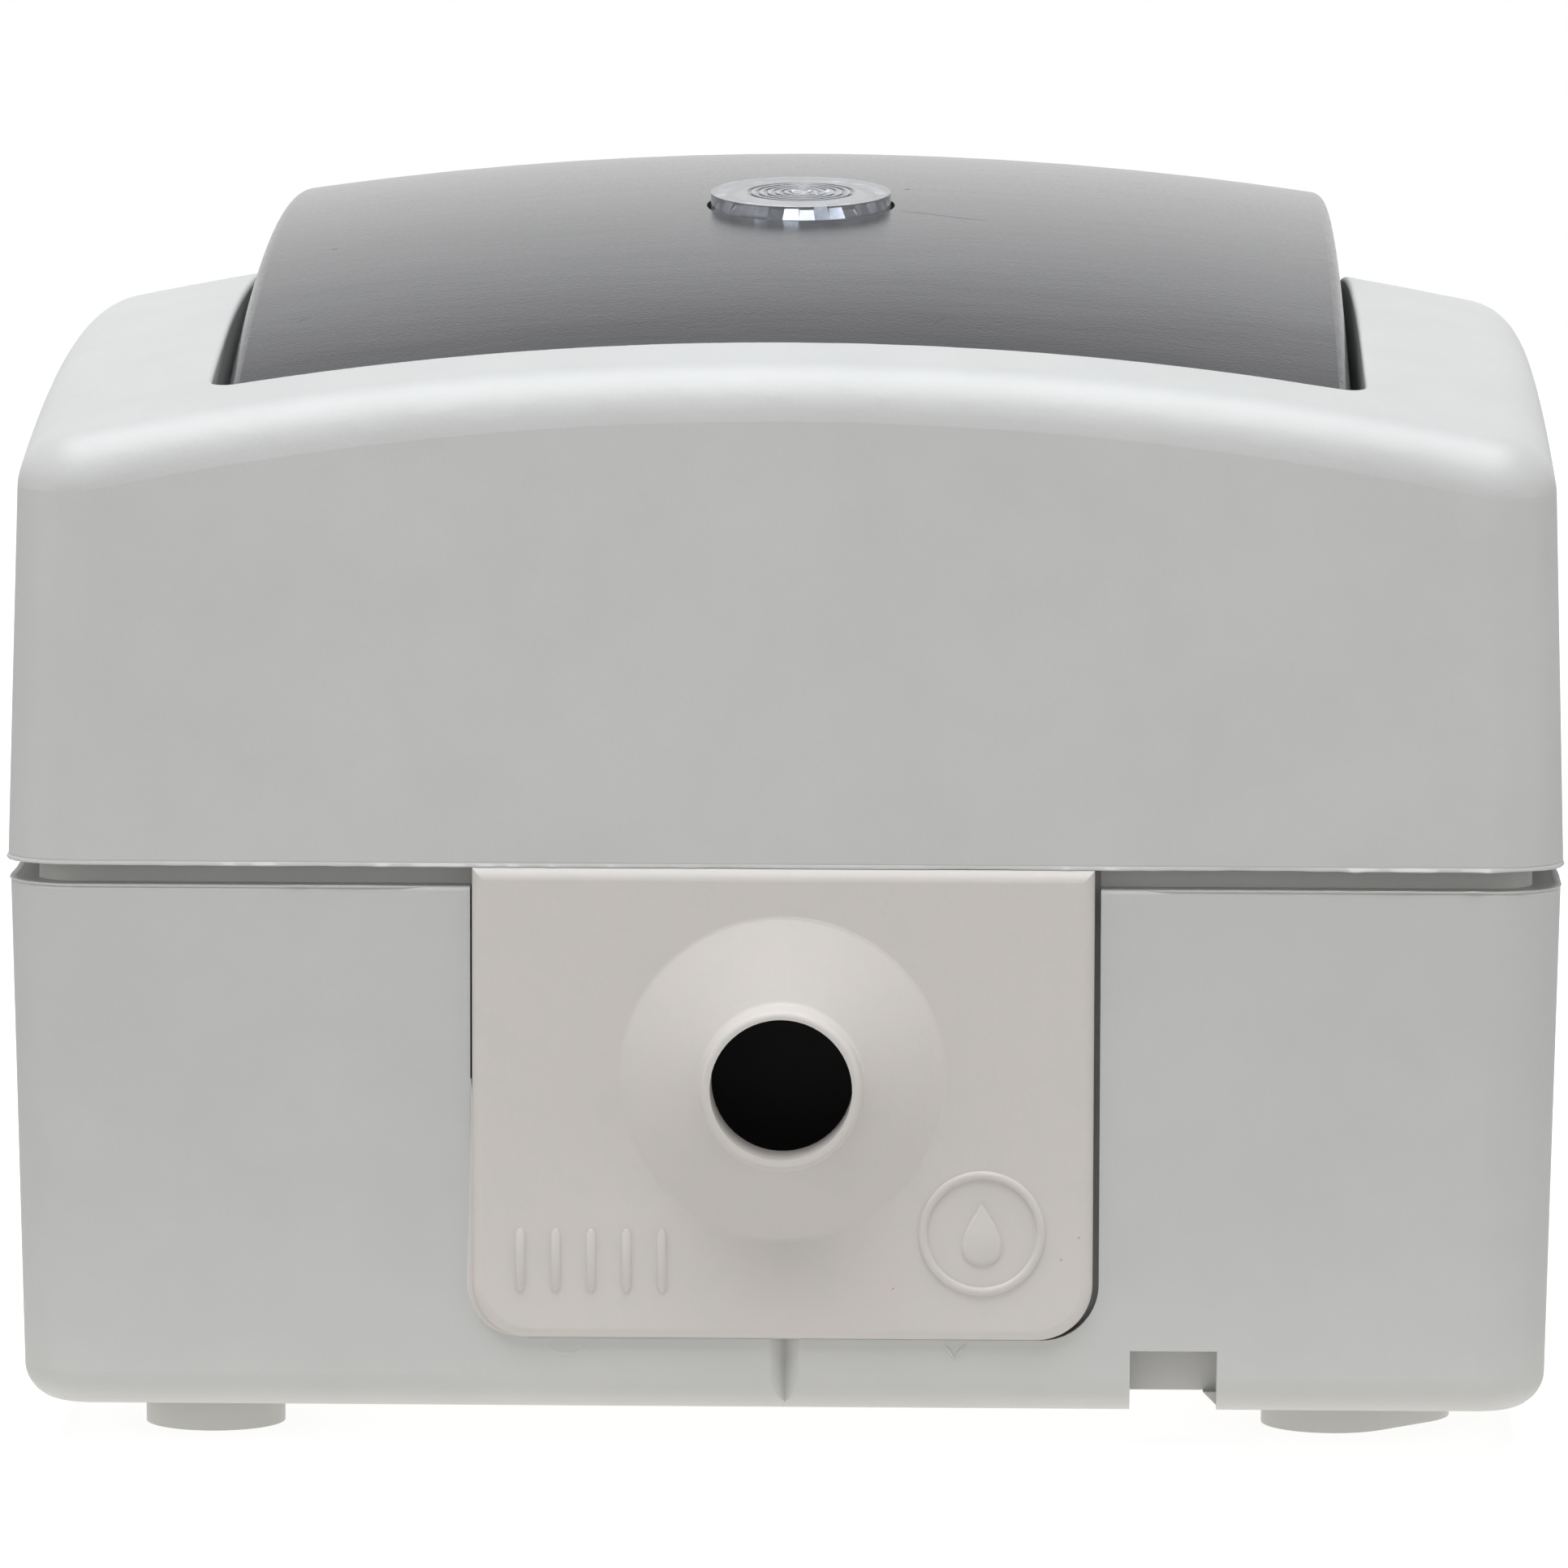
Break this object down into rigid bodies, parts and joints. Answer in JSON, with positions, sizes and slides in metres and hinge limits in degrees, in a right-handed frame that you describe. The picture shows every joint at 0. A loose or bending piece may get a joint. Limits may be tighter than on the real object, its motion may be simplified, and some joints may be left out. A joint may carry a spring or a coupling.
{
  "type": "pushbutton switch",
  "caption": "Surface-mounted splash-proof pushbutton switch: two-part grey case, domed rocker button with a clear signal lens, soft cable grommet and wall screw feet.",
  "frame": {"origin": "middle of the wall screw pattern, on the wall plane that the feet stand on", "axes": "+Z out of the wall towards the button, -Y towards the cable entry, +X to the right seen from the cable entry"},
  "size_m": [0.066, 0.0696, 0.052],
  "materials": {
    "case_abs": "light grey moulded ABS, fine matt",
    "grommet_tpe": "warm light grey soft TPE, matt",
    "rocker_abs": "mid grey moulded ABS, satin",
    "lens_pc": "clear polycarbonate, polished, ringed top",
    "insert_pbt": "black moulded PBT",
    "carrier_pom": "white POM",
    "gasket_epdm": "black EPDM cord",
    "brass": "stamped brass",
    "silver": "silver contact rivets",
    "steel": "zinc-plated steel",
    "spring_steel": "spring steel wire",
    "lamp_glass": "clear glass",
    "tinned_copper": "tinned copper wire",
    "resistor": "lacquered resistor body"
  },
  "bodies": {
    "case": {"base_box": "case_abs", "cover_hood": "case_abs", "cover_gasket": "gasket_epdm", "cover_screws": "steel", "cable_grommet": "grommet_tpe", "bearing_lid": "insert_pbt", "contact_socket": "insert_pbt", "insert_screws": "steel", "return_spring": "spring_steel", "line_terminal": "brass", "switched_terminal": "brass", "neutral_terminal": "brass", "fixed_contacts": "silver", "terminal_screws": "steel", "glow_lamp": "lamp_glass", "lamp_leads": "tinned_copper", "series_resistor": "resistor"},
    "rocker": {"rocker_cap": "rocker_abs", "signal_lens": "lens_pc", "rocker_carrier": "carrier_pom"},
    "contact_plunger": {"plunger": "carrier_pom", "contact_bridge": "brass", "bridge_contacts": "silver"}
  },
  "joints": [
    {"name": "rocker_press", "type": "hinge", "parent": "case", "child": "rocker", "pos_m": [0, 0, 0.04289], "axis": [-1, 0, 0], "range_deg": [0, 12.2], "stiffness_Nm_per_rad": 0.15, "springref_deg": -14.32},
    {"name": "plunger_slide", "type": "slide", "parent": "case", "child": "contact_plunger", "axis": [0, 0, -1], "range_m": [0, 0.00202], "deforming": ["return_spring"]}
  ],
  "couplings": [
    {"joint": "plunger_slide", "follows": "rocker_press", "m_per_rad": 0.0094821}
  ]
}
